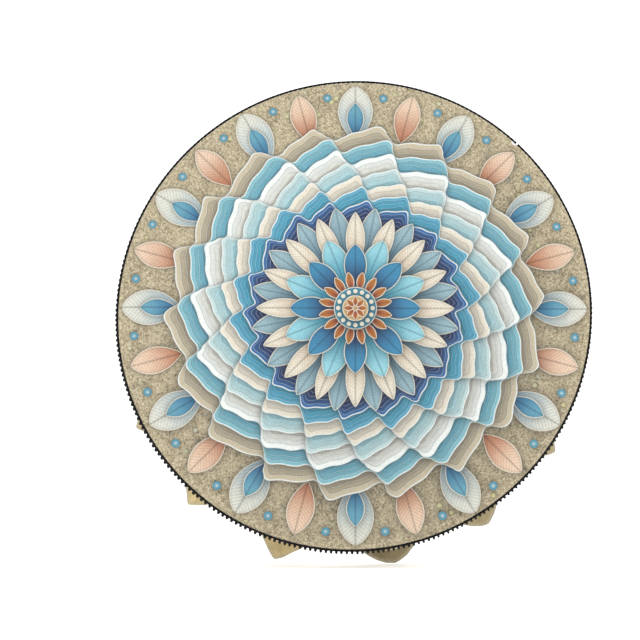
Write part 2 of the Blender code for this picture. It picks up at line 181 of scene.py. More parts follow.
def tube(points, radius, sides, closed=False, flat=0.0, twist=0.0, rough=0.0, seed=0.0):
    """Vertices, faces and strand coordinates of a tube. flat squeezes its section and twist
    turns that section along the way, once per this length; rough makes it uneven."""
    vertices = []
    lengths = [0.0]
    for a, b in zip(points, points[1:]):
        lengths.append(lengths[-1] + (b - a).length)
    frames = frames_along(points, closed)
    for point, (side, up), run in zip(points, frames, lengths):
        spin = 2 * math.pi * run / twist if twist else 0.0
        for j in range(sides):
            turn = 2 * math.pi * j / sides
            wide = radius * (1 + flat)
            thin = radius * (1 - flat)
            if rough:
                place = Vector((run / MM * 0.35 + seed, math.cos(turn), math.sin(turn)))
                uneven = 1 + rough * noise.noise(place)
                wide *= uneven
                thin *= uneven
            a = wide * math.cos(turn)
            b = thin * math.sin(turn)
            out = side * (a * math.cos(spin) - b * math.sin(spin))
            vertices.append(point + out + up * (a * math.sin(spin) + b * math.cos(spin)))
    count = len(points)
    faces = []
    strand = []
    for i in range(count if closed else count - 1):
        here = i * sides
        there = (i + 1) % count * sides
        start = lengths[i] / MM
        end = start + (points[(i + 1) % count] - points[i]).length / MM
        for j in range(sides):
            k = (j + 1) % sides
            faces.append((here + j, here + k, there + k, there + j))
            low, high = j / sides, (j + 1) / sides
            strand.extend(((start, low), (start, high), (end, high), (end, low)))
    if not closed:
        faces.append(tuple(reversed(range(sides))))
        faces.append(tuple(range((count - 1) * sides, count * sides)))
        strand.extend([(0.0, 0.0)] * sides + [(lengths[-1] / MM, 0.0)] * sides)
    return vertices, faces, strand


def gather(parts):
    """One set of vertices, faces and strand coordinates from several."""
    vertices, faces, strand = [], [], []
    for points, quads, places in parts:
        first = len(vertices)
        vertices.extend(points)
        faces.extend(tuple(first + index for index in quad) for quad in quads)
        strand.extend(places)
    return vertices, faces, strand


# ---- shader helpers

def sign(operation, swapped=False):
    """The method that stands for one arithmetic sign."""
    def combine(self, other):
        pair = (other, self) if swapped else (self, other)
        return self.paint.math(operation, *pair)
    return combine


class Value:
    """A shader socket that takes arithmetic."""

    __add__ = sign("ADD")
    __radd__ = sign("ADD", swapped=True)
    __sub__ = sign("SUBTRACT")
    __rsub__ = sign("SUBTRACT", swapped=True)
    __mul__ = sign("MULTIPLY")
    __rmul__ = sign("MULTIPLY", swapped=True)
    __truediv__ = sign("DIVIDE")

    def __init__(self, paint, socket):
        self.paint = paint
        self.socket = socket


class Paint:
    """One material, built up from nodes. Lengths in its coordinates are millimetres."""

    def __init__(self, name, roughness, metallic=0.0):
        self.material = bpy.data.materials.new(name)
        self.material.use_nodes = True
        self.tree = self.material.node_tree
        self.shader = self.tree.nodes["Principled BSDF"]
        self.shader.inputs["Roughness"].default_value = roughness
        self.shader.inputs["Metallic"].default_value = metallic

    def put(self, source, socket):
        if isinstance(source, Value):
            self.tree.links.new(source.socket, socket)
        elif socket.type == "RGBA":
            socket.default_value = (*source, 1.0)
        else:
            socket.default_value = source

    def math(self, operation, *inputs):
        node = self.tree.nodes.new("ShaderNodeMath")
        node.operation = operation
        for source, socket in zip(inputs, node.inputs):
            self.put(source, socket)
        return Value(self, node.outputs[0])

    def place(self):
        """The place in the row frame, in millimetres: as one value for textures, then x, y, z."""
        node = self.tree.nodes.new("ShaderNodeTexCoord")
        scale = self.tree.nodes.new("ShaderNodeMapping")
        scale.inputs["Scale"].default_value = (1 / MM, 1 / MM, 1 / MM)
        self.tree.links.new(node.outputs["Object"], scale.inputs["Vector"])
        split = self.tree.nodes.new("ShaderNodeSeparateXYZ")
        self.tree.links.new(scale.outputs[0], split.inputs[0])
        return [Value(self, output) for output in (scale.outputs[0], *split.outputs)]

    def strand(self):
        """Length in millimetres and share of a turn, along and round a tube."""
        node = self.tree.nodes.new("ShaderNodeUVMap")
        node.uv_map = "strand"
        split = self.tree.nodes.new("ShaderNodeSeparateXYZ")
        self.tree.links.new(node.outputs[0], split.inputs[0])
        return Value(self, split.outputs[0]), Value(self, split.outputs[1])

    def attribute(self, name):
        node = self.tree.nodes.new("ShaderNodeAttribute")
        node.attribute_name = name
        return Value(self, node.outputs["Fac"])

    def vector(self, x, y, z):
        node = self.tree.nodes.new("ShaderNodeCombineXYZ")
        for source, socket in zip((x, y, z), node.inputs):
            self.put(source, socket)
        return Value(self, node.outputs[0])

    def noise(self, vector, scale, detail=3.0, roughness=0.5):
        node = self.tree.nodes.new("ShaderNodeTexNoise")
        self.put(vector, node.inputs["Vector"])
        node.inputs["Scale"].default_value = scale
        node.inputs["Detail"].default_value = detail
        node.inputs["Roughness"].default_value = roughness
        return Value(self, node.outputs["Fac"])

    def cells(self, vector, scale):
        """The distance from the middle of the nearest cell."""
        node = self.tree.nodes.new("ShaderNodeTexVoronoi")
        self.put(vector, node.inputs["Vector"])
        node.inputs["Scale"].default_value = scale
        return Value(self, node.outputs["Distance"])

    def smooth(self, value, low, high, start=0.0, end=1.0):
        """start below low, end above high, and an S between them."""
        node = self.tree.nodes.new("ShaderNodeMapRange")
        node.interpolation_type = "SMOOTHSTEP"
        for source, socket in zip((value, low, high, start, end), node.inputs):
            self.put(source, socket)
        return Value(self, node.outputs[0])

    def mix(self, a, b, factor):
        node = self.tree.nodes.new("ShaderNodeMix")
        node.data_type = "RGBA"
        self.put(factor, node.inputs[0])
        self.put(a, node.inputs[6])
        self.put(b, node.inputs[7])
        return Value(self, node.outputs[2])

    def shade(self, colour, factor):
        """The colour times a grey factor. Here as elsewhere, a node is made after the ones that
        it reads, because the renderer has little room for values that wait."""
        grey = self.tree.nodes.new("ShaderNodeCombineColor")
        for socket in grey.inputs:
            self.put(factor, socket)
        node = self.tree.nodes.new("ShaderNodeMix")
        node.data_type = "RGBA"
        node.blend_type = "MULTIPLY"
        node.inputs[0].default_value = 1.0
        self.put(colour, node.inputs[6])
        self.tree.links.new(grey.outputs[0], node.inputs[7])
        return Value(self, node.outputs[2])

    def colour(self, value):
        self.put(value, self.shader.inputs["Base Color"])

    def roughness(self, value):
        self.put(value, self.shader.inputs["Roughness"])

    def bump(self, height, distance):
        """height from 0 to 1 stands for this distance in millimetres."""
        node = self.tree.nodes.new("ShaderNodeBump")
        node.inputs["Distance"].default_value = distance * MM
        self.put(height, node.inputs["Height"])
        self.tree.links.new(node.outputs[0], self.shader.inputs["Normal"])


# ---- materials

def hide_paint():
    """Rawhide: cream on the wall, warmer on its curled points, with painted grey shade along the
    cut edge.
    """
    paint = Paint("rawhide", 0.55)
    spot, _, y, _ = paint.place()
    clouds = paint.noise(spot, 0.035, 4.0, 0.6)
    mottle = paint.noise(spot, 0.24, 5.0, 0.62)
    fine = paint.noise(spot, 1.7, 3.0, 0.6)
    vein = paint.math("ABSOLUTE", paint.noise(spot, 0.028, 3.0, 0.55) - 0.5)
    rim = paint.attribute("rim")
    toward_points = paint.smooth(y + (clouds - 0.5) * 16.0, -13.0, 2.0)
    pale = paint.mix((0.74, 0.69, 0.57), (0.60, 0.53, 0.39), paint.smooth(clouds, 0.42, 0.66))
    pale = paint.mix(pale, (0.50, 0.42, 0.29), paint.smooth(vein, 0.002, 0.014, 0.26, 0.0))
    tan = paint.mix((0.60, 0.48, 0.25), (0.44, 0.37, 0.19), paint.smooth(mottle, 0.42, 0.62))
    # Each point's listed lightness: its own tone, with painted highlight and painted shade on some
    # points.
    tan = paint.shade(tan, paint.attribute("tone"))
    hide = paint.mix(pale, tan, toward_points)
    # Painted shade: the points turn grey towards their cut edge, where the hide's edge and
    # underside fall in shade.
    edge = paint.smooth(rim + (mottle - 0.5) * 2.0, 0.2, 3.0, 1.0, 0.0)
    hide = paint.mix(hide, (0.47, 0.44, 0.34), edge * toward_points * 0.7)
    hide = paint.shade(hide, paint.smooth(mottle, 0.32, 0.68, 0.93, 1.04))
    hide = paint.shade(hide, paint.smooth(fine, 0.30, 0.62, 0.94, 1.02))
    paint.colour(hide)
    paint.roughness(paint.smooth(mottle, 0.3, 0.8, 0.46, 0.66))
    paint.bump(mottle * 0.8 + fine * 0.3 - paint.smooth(vein, 0.0, 0.02, 0.15, 0.0), 0.20)
    paint.shader.inputs["Subsurface Weight"].default_value = 0.12
    paint.shader.inputs["Subsurface Scale"].default_value = 0.0015
    return paint.material


def wood_paint():
    """Bent ash strip: the grain runs round the hoop, and its figure meets at the lap."""
    paint = Paint("bent_wood", 0.5)
    x, y, z = paint.place()[1:]
    start = math.radians(SCARF_ANGLE + 180.0)
    along = paint.math("ARCTAN2", z * math.cos(start) - x * math.sin(start),
                       x * math.cos(start) + z * math.sin(start)) * (HOOP_INNER / MM)
    depth = paint.math("SQRT", x * x + z * z)
    drift = paint.noise(paint.vector(along * 0.012, y * 0.06, depth * 0.1), 1.0, 2.0) * 9.0
    rings = paint.noise(paint.vector(along * 0.006, y * 0.42 + drift, depth * 0.5), 1.0, 2.0)
    fibres = paint.noise(paint.vector(along * 0.07, y * 3.4, depth * 3.4), 1.0, 3.0, 0.6)
    flecks = paint.noise(paint.vector(along * 0.22, y * 5.5, depth * 5.5), 1.0, 1.0)
    wood = paint.mix((0.69, 0.51, 0.31), (0.47, 0.31, 0.165), paint.smooth(rings, 0.40, 0.64))
    wood = paint.mix(wood, (0.78, 0.62, 0.41), paint.smooth(fibres, 0.52, 0.74) * 0.5)
    wood = paint.mix(wood, (0.33, 0.20, 0.10), paint.smooth(flecks, 0.66, 0.74) * 0.55)
    paint.colour(wood)
    paint.roughness(paint.smooth(fibres, 0.3, 0.8, 0.42, 0.6))
    paint.bump(fibres + flecks * 0.4, 0.10)
    return paint.material


def lace_paint():
    """Twisted rawhide lace: the hide's own cream and tan, with painted shade in the hollows of its
    twist, and glossy in places.
    """
    paint = Paint("rawhide_lace", 0.5)
    length, turn = paint.strand()
    spot = paint.place()[0]
    fold = paint.math("SINE", (turn * 2.0 + length / 7.5) * (2 * math.pi))
    blotch = paint.noise(spot, 0.10, 3.0)
    grain = paint.noise(spot, 1.3, 3.0)
    # Painted shade: the lace is darker in the hollows of its twist and lighter on its ridges.
    lace = paint.mix((0.40, 0.30, 0.165), (0.67, 0.56, 0.38), paint.smooth(fold, -0.8, 0.9))
    lace = paint.mix(lace, (0.33, 0.235, 0.125), paint.smooth(blotch, 0.50, 0.68) * 0.55)
    lace = paint.mix(lace, (0.76, 0.67, 0.49), paint.smooth(grain, 0.58, 0.78) * 0.4)
    paint.colour(lace)
    paint.roughness(paint.smooth(grain, 0.3, 0.7, 0.38, 0.60))
    paint.bump(fold * 0.4 + grain * 0.6, 0.20)
    return paint.material


def black_thread_paint():
    """Matt black thread with a twist and some fuzz."""
    paint = Paint("black_thread", 0.7)
    paint.shader.inputs["Specular IOR Level"].default_value = 0.12
    length, turn = paint.strand()
    lay = paint.math("SINE", (turn * 2.0 + length / 0.9) * (2 * math.pi))
    fuzz = paint.noise(paint.place()[0], 4.0, 3.0)
    # Painted shade: the thread is a touch lighter on the ridges of its twist and darker in its
    # grooves.
    thread = paint.mix((0.003, 0.003, 0.003), (0.014, 0.013, 0.013), paint.smooth(lay, -0.6, 1.0))
    paint.colour(paint.mix(thread, (0.024, 0.023, 0.023), paint.smooth(fuzz, 0.6, 0.8) * 0.4))
    paint.roughness(paint.smooth(fuzz, 0.3, 0.7, 0.6, 0.8))
    paint.bump(lay * 0.6 + fuzz * 0.4, 0.08)
    return paint.material


def steel_paint():
    """Nickel-plated wire: fine drawn lines and a few dull spots."""
    paint = Paint("plated_steel", 0.28, 1.0)
    length, turn = paint.strand()
    lines = paint.noise(paint.vector(length * 0.05, turn * 60.0, 0.0), 1.0, 2.0)
    dull = paint.noise(paint.place()[0], 0.22, 4.0, 0.6)
    steel = paint.mix((0.42, 0.415, 0.40), (0.30, 0.29, 0.27), paint.smooth(dull, 0.46, 0.70))
    paint.colour(paint.shade(steel, paint.smooth(lines, 0.35, 0.65, 0.90, 1.05)))
    paint.roughness(paint.smooth(dull, 0.4, 0.75, 0.16, 0.34))
    paint.bump(lines, 0.01)
    return paint.material


def brass_paint():
    """Brass gone dark in spots."""
    paint = Paint("aged_brass", 0.3, 1.0)
    age = paint.noise(paint.place()[0], 0.9, 4.0, 0.6)
    paint.colour(paint.mix((0.62, 0.46, 0.19), (0.30, 0.20, 0.09), paint.smooth(age, 0.45, 0.7)))
    paint.roughness(paint.smooth(age, 0.4, 0.7, 0.26, 0.5))
    paint.bump(age, 0.03)
    return paint.material


# ---- printed face

SHADOW_SIDE = math.radians(-62.0)  # the way the printed shadows fall

# The ground's middle, dark and light tones
SAND = ((0.42, 0.35, 0.215), (0.26, 0.205, 0.12), (0.64, 0.57, 0.41))
CREAM = (0.72, 0.66, 0.54)
FOAM = (0.76, 0.80, 0.77)
TURQUOISE = (0.035, 0.27, 0.39)
NAVY = (0.007, 0.028, 0.11)
MIST = (0.37, 0.48, 0.52)
CORAL = (0.36, 0.068, 0.032)
AMBER = (0.50, 0.19, 0.035)
BLUSH = (0.70, 0.52, 0.38)
TERRACOTTA = (0.42, 0.17, 0.085)
FAWN = (0.52, 0.40, 0.28)
PALE_LEAF = (0.62, 0.62, 0.54)
PALE_AQUA = (0.27, 0.56, 0.63)
SEA_BLUE = (0.04, 0.22, 0.38)
SLATE = (0.07, 0.16, 0.22)
SLATE_TIP = (0.28, 0.42, 0.47)
LEAF_BLUES = ((0.03, 0.15, 0.29), (0.12, 0.33, 0.43))
BEAD_BLUE = (0.08, 0.27, 0.36)

# Each band of scales, outermost first: radius and height in mm, count, phase, colours at its
# edge and deeper in, and the spacing of its strips in mm
SCALES = (
    (98.0, 4.2, 18, 0.0, (0.52, 0.45, 0.32), (0.31, 0.27, 0.19), 3.4),
    (91.0, 4.0, 18, 1.0, (0.20, 0.44, 0.50), (0.09, 0.31, 0.41), 2.6),
    (84.0, 4.2, 18, 2.0, FOAM, (0.55, 0.55, 0.49), 2.8),
    (76.5, 4.2, 18, 3.1, (0.46, 0.60, 0.60), (0.27, 0.50, 0.55), 2.4),
    (69.5, 3.8, 18, 4.2, CREAM, (0.56, 0.53, 0.45), 3.0),
    (64.0, 3.6, 18, 5.2, (0.08, 0.32, 0.46), TURQUOISE, 2.2),
    (57.0, 3.0, 18, 6.2, (0.03, 0.13, 0.33), NAVY, 2.4),
)


class Picture:
    """A printed picture made up from the back to the front, like layers of cut paper."""

    def __init__(self, paint):
        self.paint = paint
        self.spot, x, _, z = paint.place()
        self.radius = paint.math("SQRT", x * x + z * z)
        self.angle = paint.math("ARCTAN2", z, x)
        self.fibre = paint.noise(self.spot, 0.9, 3.0, 0.6)
        self.wash = paint.noise(self.spot, 0.045, 3.0)
        self.result = (0.5, 0.5, 0.5)
        toward = paint.math("COSINE", self.angle - SHADOW_SIDE)
        self.cast = 2.6 + toward * 1.3

    def lay(self, inside, colour, shadow=1.0, rim=None, rim_width=0.5):
        """A layer whose edge is where inside, in millimetres, passes 0. It shades what lies
        under it, and its own edge can be a lit rim."""
        paint = self.paint
        fall = paint.math("MAXIMUM", 0.0 - inside, 0.0)
        reach = self.cast * shadow
        dark = paint.math("EXPONENT", 0.0 - fall / reach) * 0.52
        self.result = paint.shade(self.result, 1.0 - dark)
        if rim:
            lit = paint.smooth(inside, rim_width, rim_width + 0.35, 1.0, 0.0)
            colour = paint.mix(colour, rim, lit * 0.85)
        cover = paint.smooth(inside, -0.12, 0.12)
        self.result = paint.mix(self.result, colour, cover)

    def sand(self):
        """The ground: coarse grains, dark specks and a few pebbles."""
        paint = self.paint
        grain = paint.noise(self.spot, 1.05, 5.0, 0.85)
        ripple = paint.noise(self.spot, 0.09, 3.0)
        specks = paint.cells(self.spot, 0.62)
        sand = paint.mix(SAND[0], SAND[1], paint.smooth(ripple, 0.42, 0.66) * 0.5)
        sand = paint.mix(sand, SAND[2], paint.smooth(grain, 0.50, 0.60) * 0.95)
        sand = paint.mix(sand, (0.06, 0.045, 0.025),
                         paint.smooth(grain, 0.38, 0.46, 1.0, 0.0) * 0.95)
        sand = paint.shade(sand, paint.smooth(specks, 0.05, 0.30, 0.62, 1.06))
        self.result = sand
        stones = paint.cells(self.spot, 0.17)
        some = paint.smooth(paint.noise(self.spot, 0.13, 1.0), 0.50, 0.56)
        pebble = (0.23 - stones) / 0.17 * some - (1.0 - some) * 4.0
        tint = paint.mix((0.56, 0.54, 0.25), (0.36, 0.35, 0.27), paint.smooth(self.wash, 0.4, 0.6))
        tint = paint.mix(tint, (0.74, 0.69, 0.52),
                         paint.smooth(stones, 0.02, 0.16, 1.0, 0.0) * 0.7)
        self.lay(pebble, tint, shadow=0.22)

    def sector(self, count, turn):
        """How far out and to the side a place is, seen along the middle of its sector."""
        paint = self.paint
        step = 2 * math.pi / count
        sector = (self.angle - turn) / step + 0.5
        local = (paint.math("FRACT", sector + 100.0) - 0.5) * step
        out = self.radius * paint.math("COSINE", local)
        return out, self.radius * paint.math("SINE", local)

    def petals(self, count, turn, start, end, width, colours, blunt=0.75, ribs=1.7, shadow=0.8):
        """A ring of petals with a midrib and side veins, from start to end, in millimetres."""
        paint = self.paint
        out, side = self.sector(count, turn)
        side = paint.math("ABSOLUTE", side)
        share = (out - start) / (end - start)
        kept = paint.math("MINIMUM", paint.math("MAXIMUM", share, 0.0), 1.0)
        hump = paint.math("SINE", paint.math("POWER", kept, 1.15) * math.pi)
        fullness = paint.math("POWER", paint.math("MAXIMUM", hump, 0.0001), blunt)
        past = paint.math("MAXIMUM", paint.math("ABSOLUTE", share - 0.5) - 0.5, 0.0)
        inside = fullness * width - side - past * (end - start)
        near, far = colours
        body = paint.mix(near, far, paint.smooth(share + (self.wash - 0.5) * 0.4, 0.05, 0.9))
        vein = paint.math("FRACT", (out - side * 0.9) / ribs + 50.0)
        body = paint.shade(body, paint.smooth(vein, 0.0, 0.5, 0.80, 1.04))
        body = paint.shade(body, paint.smooth(side, 0.25, 0.7, 0.66, 1.0))
        body = paint.shade(body, paint.smooth(inside, 0.3, 2.6, 0.84, 1.05))
        self.lay(inside, body, shadow=shadow, rim=CREAM, rim_width=0.32)

    def scales(self, radius, height, count, phase, crest, deep, strip):
        """A disc with a rim of leaning scales, made of paper strips that follow the rim."""
        paint = self.paint
        lean = self.angle * count + phase + (self.wash - 0.5) * 2.2
        roll = paint.math("SINE", lean + paint.math("SINE", lean) * 0.75)
        inside = radius + roll * height + (self.wash - 0.5) * 3.0 - self.radius
        depth = paint.smooth(inside, 0.0, height * 2.4)
        body = paint.mix(crest, deep, depth)
        level = inside / strip
        seam = paint.math("FRACT", level + 40.0)
        tone = paint.math("FRACT", paint.math("FLOOR", level + 40.0) * 0.618)
        body = paint.shade(body, 0.86 + tone * 0.24)
        body = paint.shade(body, paint.smooth(seam, 0.0, 0.34, 0.74, 1.03))
        body = paint.mix(body, FOAM, paint.smooth(seam, 0.86, 0.97) * 0.42)
        self.lay(inside, body, shadow=1.0, rim=FOAM, rim_width=0.55)

    def rubbed_spot(self):
        """The print is rubbed white where the edge cord's ends meet over it."""
        paint = self.paint
        wall = WALL_RADIUS / MM
        along = (self.angle - math.radians(TRIM_SEAM_ANGLE) - 0.012) * wall / 2.0
        across = (self.radius - wall - 0.2) / 1.1
        reach = paint.math("SQRT", along * along + across * across) + (self.fibre - 0.5) * 0.9
        white = paint.smooth(reach, 0.75, 1.1, 1.0, 0.0)
        self.result = paint.mix(self.result, (0.86, 0.80, 0.80), white)

    def disc(self, radius, colour):
        """A plain round layer."""
        self.lay(radius - self.radius, colour, shadow=0.6, rim=CREAM, rim_width=0.4)

    def dots(self, count, turn, ring, size, colour):
        """Small domed beads in a ring."""
        paint = self.paint
        out, side = self.sector(count, turn)
        out = out - ring
        inside = size - paint.math("SQRT", out * out + side * side)
        body = paint.mix(colour, FOAM, paint.smooth(inside, size * 0.3, size * 1.1) * 0.6)
        self.lay(inside, body, shadow=0.4)


def face_paint():
    """The printed sheet: a radial design of leaves, scales and petals in cut-paper layers."""
    paint = Paint("printed_sheet", 0.42)
    picture = Picture(paint)
    picture.sand()
    half = math.pi / 12
    picture.petals(12, half, 95.0, 123.0, 7.2, (TERRACOTTA, BLUSH), blunt=0.7, ribs=2.0)
    picture.petals(12, 0.0, 93.0, 124.5, 9.6, (MIST, PALE_LEAF), blunt=0.6, ribs=2.2)
    picture.petals(12, 0.0, 95.0, 115.0, 4.9, LEAF_BLUES, ribs=1.4)
    picture.dots(24, half / 2, 118.5, 2.2, BEAD_BLUE)
    for band in SCALES:
        picture.scales(*band)
    eighth = math.pi / 8
    picture.petals(16, eighth / 2, 24.0, 56.0, 6.0, (SLATE, SLATE_TIP), ribs=1.8)
    picture.petals(16, 0.0, 20.0, 53.0, 5.2, (FAWN, CREAM), ribs=1.8)
    picture.petals(8, eighth, 12.0, 40.0, 6.8, (TURQUOISE, PALE_AQUA), blunt=0.65, ribs=1.5)
    picture.petals(8, 0.0, 10.0, 35.0, 6.2, (NAVY, SEA_BLUE), blunt=0.65, ribs=1.5)
    picture.petals(16, eighth / 2, 9.0, 20.0, 2.3, (CORAL, AMBER), ribs=1.2, shadow=0.5)
    picture.disc(11.6, (0.04, 0.24, 0.35))
    picture.dots(16, 0.0, 9.2, 1.2, CREAM)
    picture.disc(7.0, (0.58, 0.36, 0.14))
    picture.petals(8, 0.0, 0.8, 6.4, 1.7, (CORAL, AMBER), ribs=5.0, shadow=0.3)
    picture.rubbed_spot()
    weave = paint.noise(picture.spot, 2.6, 2.0)
    printed = paint.shade(picture.result, paint.smooth(picture.fibre, 0.3, 0.7, 0.91, 1.06))
    printed = paint.shade(printed, paint.smooth(weave, 0.3, 0.7, 0.93, 1.05))
    paint.colour(printed)
    paint.roughness(paint.smooth(weave, 0.3, 0.7, 0.38, 0.50))
    paint.bump(weave * 0.5 + picture.fibre * 0.5, 0.05)
    return paint.material


# ---- hide

HIDE_EDGE_RADIUS = 0.0015  # where the head folds over the front of the hoop
HIDE_CREASE = 50.0  # degrees between two faces, from which the edge is sharp
NOTCH_DEPTH = 0.010  # from the hoop's back edge forward to the foot of a notch
FLARE_BEND = 0.0025  # radius of the curl at the foot of a point
FLARE_ANGLE = 84.0  # degrees that a point curls out from the wall
POINT_LENGTH = 0.0092  # of the flat part of a point, past its curl
CURL_Y = 0.002  # where the curl starts
TIP_ROUNDING = 0.03  # of a point's tip, as a share of half a pitch
FOLD_STEPS = 4
COLUMNS = 22  # on each half of a point
WALL_ROWS = 10  # from the fold to above the notches
ROWS = 26  # from there to the cut edge
SKIRT_HEAD = 0.003  # of the finer rows above the foot of a notch
FAR_FROM_EDGE = 9.0  # mm from the cut edge, on the face and its fold
EDGE_WAVER = 0.0005  # of the hand-cut edge
PUCKER = 0.00045  # how far the wall stands out between the points that pull it down
BUCKLE = 0.0011  # most by which a point's flat part is bent out of true
BUCKLE_START = 0.001  # outside the wall
POINT_REACH = 0.011  # of a usual point, outside the wall
TIP_LIFT = 0.0006  # most by which a point curls back more or less than the others
LACE_HOLE_RADIUS = 0.0016
LACE_HOLE_REACH = (-0.0024, 0.0008)  # of a hole's cutter, inside and outside the wall
HALF_HOLE_SPACING = 0.005
# How light each point's hide is painted: partly its own uneven tone, partly painted highlight on
# the lower left points and painted shade on the lower right ones
POINT_TONE_AND_SHADE = (0.95, 1.0, 0.85, 1.0, 0.9, 1.0, 0.95, 1.0, 1.0, 1.18, 1.06, 0.52, 0.70, 0.8, 0.9)
HIDE_FRONT_Y = FRONT_EDGE_Y - FIT_GAP - HIDE_THICKNESS
WALL_START_Y = HIDE_FRONT_Y + HIDE_EDGE_RADIUS


def skirt_place(run, depth_in):
    """Radius and y, run back along the hide from the fold and depth_in from its outer side."""
    straight = CURL_Y - WALL_START_Y
    if run <= straight:
        return WALL_RADIUS - depth_in, WALL_START_Y + run
    curl = math.radians(FLARE_ANGLE)
    turned = min((run - straight) / FLARE_BEND, curl)
    past = max(run - straight - FLARE_BEND * curl, 0.0)
    radius = WALL_RADIUS + FLARE_BEND - (FLARE_BEND + depth_in) * math.cos(turned)
    y = CURL_Y + (FLARE_BEND + depth_in) * math.sin(turned)
    return radius + past * math.sin(turned), y + past * math.cos(turned)


def hide_edge_run(share, index, degrees):
    """How far back the hide reaches, with the slight waver of a hand-cut edge."""
    length, fullness = HIDE_POINTS[index][1:]
    notch = BACK_EDGE_Y - NOTCH_DEPTH - WALL_START_Y
    tip = CURL_Y - WALL_START_Y + FLARE_BEND * math.radians(FLARE_ANGLE) + POINT_LENGTH * length
    fall = math.hypot(share, TIP_ROUNDING) - TIP_ROUNDING
    fall /= math.hypot(1.0, TIP_ROUNDING) - TIP_ROUNDING
    waver = noise.noise(Vector((degrees * 0.55, 3.0, 0.0))) * EDGE_WAVER
    return notch + (tip - notch) * (1.0 - fall) * (1.0 + fullness * fall) + waver


def hide_columns():
    """(degrees, share of half a pitch, point) for each column round the head."""
    columns = []
    for index in range(POINT_COUNT):
        middle = point_angle(index)
        before = (middle - point_angle(index - 1)) % 360.0 / 2
        after = (point_angle(index + 1) - middle) % 360.0 / 2
        places = [step ** 1.4 for step in shares(COLUMNS)]
        for share in reversed(places[1:-1]):
            columns.append((middle - before * share, share, index))
        for share in places:
            columns.append((middle + after * share, share, index))
    return columns


def hide_ring(degrees, share, index, rims):
    """One cross-section of the head, outer side first, then back up the inner side. Between two
    points, which the lace pulls down, the wall stands out a little."""
    ring = []
    for share_of_fold in shares(FOLD_STEPS):
        turn = math.pi / 2 * share_of_fold
        ring.append((WALL_RADIUS - HIDE_EDGE_RADIUS * (1 - math.sin(turn)),
                     WALL_START_Y - HIDE_EDGE_RADIUS * math.cos(turn), FAR_FROM_EDGE))
    start = BACK_EDGE_Y - NOTCH_DEPTH - SKIRT_HEAD - WALL_START_Y
    edge = hide_edge_run(share, index, degrees)
    runs = [start * i / WALL_ROWS for i in range(1, WALL_ROWS)]
    runs += [start + (edge - start) * step for step in shares(ROWS)]
    for run in runs:
        ring.append((*skirt_place(run, 0.0), (edge - run) / MM))
    for run in reversed(runs):
        ring.append((*skirt_place(run, HIDE_THICKNESS), (edge - run) / MM))
    inner_fold = HIDE_EDGE_RADIUS - HIDE_THICKNESS
    inner_y = FRONT_EDGE_Y - FIT_GAP
    ring.append((WALL_RADIUS - HIDE_THICKNESS, inner_y + inner_fold, FAR_FROM_EDGE))
    ring.append((WALL_RADIUS - HIDE_EDGE_RADIUS, inner_y, FAR_FROM_EDGE))
    points = []
    lift = math.sin(math.radians(40.0 * index)) * TIP_LIFT
    slack = 0.5 - 0.5 * math.cos(math.pi * share)
    for radius, y, rim in ring:
        out = max(radius - WALL_RADIUS - BUCKLE_START, 0.0) / POINT_REACH
        buckle = noise.noise(Vector((degrees * 0.09, radius * 90.0, 7.0))) * BUCKLE
        down = min(max((y - WALL_START_Y) / (HOLE_Y - WALL_START_Y), 0.0), 1.0)
        stand = PUCKER * slack * down ** 1.5
        points.append(on_drum(radius + stand, y + out * (buckle + lift), degrees))
        rims.append((max(rim, 0.0), POINT_TONE_AND_SHADE[index]))
    return points


def hole_angle(index, side):
    """The angle of one of a point's two holes, for a side of -1 or 1."""
    return point_angle(index) + side * math.degrees(HALF_HOLE_SPACING / WALL_RADIUS)


def lace_hole_cutters():
    """Round pins through the two holes of every point."""
    parts = []
    for index in range(POINT_COUNT):
        for side in (-1, 1):
            degrees = hole_angle(index, side)
            ends = [on_drum(WALL_RADIUS + reach, HOLE_Y, degrees) for reach in LACE_HOLE_REACH]
            parts.append(tube(ends, LACE_HOLE_RADIUS, 18))
    vertices, faces = gather(parts)[:2]
    return add_mesh("lace_holes", vertices, faces)


def build_hide():
    """The head as one closed shell, with its lace holes cut through."""
    rims = []
    rings = [hide_ring(*column, rims) for column in hide_columns()]
    count = len(rings[0])
    vertices = [point for ring in rings for point in ring]
    faces = []
    for i in range(len(rings)):
        here = i * count
        there = (i + 1) % len(rings) * count
        for j in range(count - 1):
            faces.append((here + j, here + j + 1, there + j + 1, there + j))
    faces.append(tuple(i * count for i in range(len(rings))))
    faces.append(tuple(i * count + count - 1 for i in reversed(range(len(rings)))))
    hide = piece("hide_head", vertices, faces, hide_paint(), ("drumhead",), crease=HIDE_CREASE)
    for place, name in enumerate(("rim", "tone")):
        layer = hide.data.attributes.new(name, "FLOAT", "POINT")
        for item, values in zip(layer.data, rims):
            item.value = values[place]
    cutter = lace_hole_cutters()
    boolean = hide.modifiers.new("lace_holes", "BOOLEAN")
    boolean.operation = "DIFFERENCE"
    boolean.solver = "MANIFOLD"
    boolean.object = cutter
    bpy.context.view_layer.update()
    depsgraph = bpy.context.evaluated_depsgraph_get()
    holed = bpy.data.meshes.new_from_object(hide.evaluated_get(depsgraph))
    hide.modifiers.clear()
    holed.set_sharp_from_angle(angle=math.radians(HIDE_CREASE))
    hide.data = holed
    bpy.data.objects.remove(cutter)
    return hide


# ---- hoop and tacks

SCARF_ANGLE = 62.0  # degrees round the drum, at the lap's middle
SCARF_LENGTH = 0.066
SCARF_NIB = 0.0011  # thickness left at each end of the lap
SCARF_STEPS = 16
HOOP_STEPS = 220
HOOP_EASE = 0.0009  # radius of its eased edges
EASE_STEPS = 3


